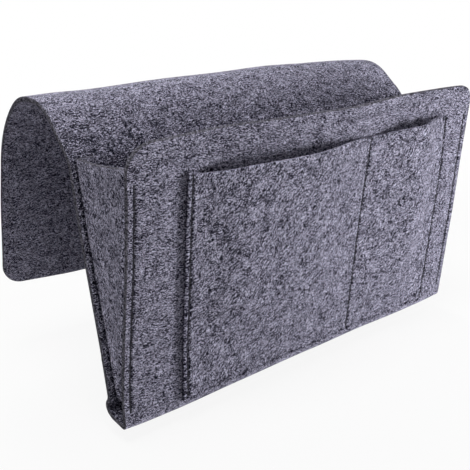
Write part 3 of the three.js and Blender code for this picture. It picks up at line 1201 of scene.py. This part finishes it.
def pocketPath(x, z):
    off = strip["layerGap"] + pocketLift(x, z) + felt - hemThin(x) - onFelt
    off = off - seams["footSunk"] * (1 - smooth(z, seams["foot"], seams["foot"] + seams["corner"]))
    points = onPanel(x, off, z)
    return points, np.broadcast_to(inSpace(np.array(0.0), outPanel), points.shape)


# Down the left hem, along the foot and up the right hem
def pocketRun():
    high, low, corner = pocket["height"] - seams["pocket"] / 2, seams["foot"], seams["corner"]
    turn = np.radians(np.linspace(180, 270, 8))
    fall = np.linspace(high, low + corner, 90)
    level = np.linspace(seamLeft + corner, seamRight - corner, 160)
    xs = [
        np.full(fall.shape, seamLeft),
        seamLeft + corner + corner * np.cos(turn),
        level,
        seamRight - corner - corner * np.cos(turn[::-1]),
        np.full(fall.shape, seamRight),
    ]
    zs = [
        fall,
        low + corner + corner * np.sin(turn),
        np.full(level.shape, low),
        low + corner + corner * np.sin(turn[::-1]),
        fall[::-1],
    ]
    x, z = np.concatenate(xs), np.concatenate(zs)
    keep = np.concatenate([[True], np.hypot(np.diff(x), np.diff(z)) > 1e-6])
    return x[keep], z[keep]


stitches["pocketStitches"] = stitchAlong("pocketStitches", *evenPath(*pocketPath(*pocketRun())))
dividerZ = np.linspace(seams["foot"] + felt, pocket["height"] - seams["pocket"] / 2, seamPoints)
dividerPath = pocketPath(np.full(dividerZ.shape, pocket["divider"]), dividerZ)
stitches["dividerStitches"] = stitchAlong("dividerStitches", *evenPath(*dividerPath))
print("stitches made:", {name: len(piece.data.polygons) for name, piece in stitches.items()})


# Which CAD nodes each piece stands for, and the body the pocket and each stitch row is attached to
frontFelt, backFelt, flapFelt = (stripObjects[name] for name in stripPieces)
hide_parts("front_panel", "base_fold")
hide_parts("back_panel", "saddle")
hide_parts("tuck_flap")
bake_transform(frontFelt)
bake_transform(backFelt)
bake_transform(flapFelt)

spread = 0.026  # from the gusset's middle to the ends of its fold
middleLevel = (gussetFoot + gussetHead) / 2
for name, node in (("leftGussetFelt", "left_gusset"), ("rightGussetFelt", "right_gusset")):
    piece = gussetObjects[name]
    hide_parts(node)
    foldEnds = [wedgePoint(0.0, y, middleLevel) for y in (spread, -spread)]
    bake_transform(piece)

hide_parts("outer_pocket")
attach(pocketFelt, "front")
stitchPlaces = {
    "leftFrontStitches": ("front", "left_front_seam"),
    "rightFrontStitches": ("front", "right_front_seam"),
    "leftBackStitches": ("bag", "left_back_seam"),
    "rightBackStitches": ("bag", "right_back_seam"),
    "leftRearStitches": ("bag", None),
    "rightRearStitches": ("bag", None),
    "pocketStitches": ("front", "pocket_seam"),
    "dividerStitches": ("front", "divider_seam"),
}
for name, (body, node) in stitchPlaces.items():
    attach(stitches[name], body)
    if node:
        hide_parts(node)

for name, spec in stripPieces.items():
    spec["to"] - spec["from"]
flange = gusset["flange"] + (gusset["fold"] + gusset["backFold"]) / 2 * (math.pi / 2 - 1)
gussetHeight = gussetHead - gussetFoot
gussetWide = 2 * (flangeMiddle(gussetHead) + flange)
gussetMean = 2 * (flangeMiddle(middleLevel) + flange)
for piece in gussetObjects.values():
    gussetMean * gussetHeight
print("pieces placed")


# Soft studio light, a pale floor and a white backdrop
studio = {
    "floorGap": 0.0095,
    "floorSize": 12.0,
    "floorColour": (0.62, 0.62, 0.62, 1.0),
    "floorGlow": 0.90,
    "glowFrom": 0.32,
    "glowTo": 0.75,
    "ambient": 0.26,
    "lamps": [  # name, place, aim, size, power
        ("keyLamp", (0.32, -0.45, -0.10), (0, -0.05, -0.08), 0.15, 1.64),
        ("topLamp", (-0.30, -0.20, 1.00), (0, -0.05, -0.08), 0.5, 10.0),
        ("rearLamp", (0.30, 1.00, 0.50), (0, -0.05, -0.08), 0.5, 9.7),
    ],
}


def whiteToView(tree, lit, share):
    rays = nodeFrom(tree, "ShaderNodeLightPath", {})
    named = {flow.socket.name: flow for flow in rays}
    seen = named["Is Camera Ray"] + named["Is Glossy Ray"] + named["Is Transmission Ray"]
    glow = nodeFrom(tree, "ShaderNodeEmission", {}, (1, 1, 1, 1), 1.0)[0]
    return nodeFrom(tree, "ShaderNodeMixShader", {}, seen * share, lit, glow)[0]


def makeFloor(setup):
    low = cadLow.z - setup["floorGap"]
    reach = setup["floorSize"]
    mesh = bpy.data.meshes.new("paleFloor")
    corners = [(-reach, -reach, low), (reach, -reach, low), (reach, reach, low), (-reach, reach, low)]
    mesh.from_pydata(corners, [], [(0, 1, 2, 3)])
    floor = addObject("paleFloor", mesh)
    material, tree = newMaterial("paleFloor")
    lit = nodeFrom(tree, "ShaderNodeBsdfDiffuse", {}, setup["floorColour"])[0]
    place = nodeFrom(tree, "ShaderNodeTexCoord", {})[3]
    away = nodeFrom(tree, "ShaderNodeVectorMath", {"operation": "LENGTH"}, place)[1]
    share = nodeFrom(
        tree,
        "ShaderNodeMapRange",
        {"interpolation_type": "SMOOTHSTEP"},
        away,
        setup["glowFrom"],
        setup["glowTo"],
        setup["floorGlow"],
        1.0,
    )[0]
    nodeFrom(tree, "ShaderNodeOutputMaterial", {}, whiteToView(tree, lit, share))
    mesh.materials.append(material)


def makeLamps(lamps):
    for name, place, aim, size, power in lamps:
        data = bpy.data.lights.new(name, "AREA")
        data.shape = "DISK"
        data.size = size
        data.energy = power
        lamp = addObject(name, data)
        lamp.location = place
        lamp.rotation_euler = (Vector(aim) - Vector(place)).to_track_quat("-Z", "Y").to_euler()
        lamp.visible_camera = False


def makeWorld(strength):
    world = bpy.data.worlds.new("studioWorld")
    world.use_nodes = True
    tree = world.node_tree
    tree.nodes.clear()
    lit = nodeFrom(tree, "ShaderNodeBackground", {}, (1, 1, 1, 1), strength)[0]
    nodeFrom(tree, "ShaderNodeOutputWorld", {}, whiteToView(tree, lit, 1.0))
    bpy.context.scene.world = world


makeFloor(studio)
makeLamps(studio["lamps"])
makeWorld(studio["ambient"])
bpy.context.scene.view_settings.view_transform = "Standard"
print("studio set")
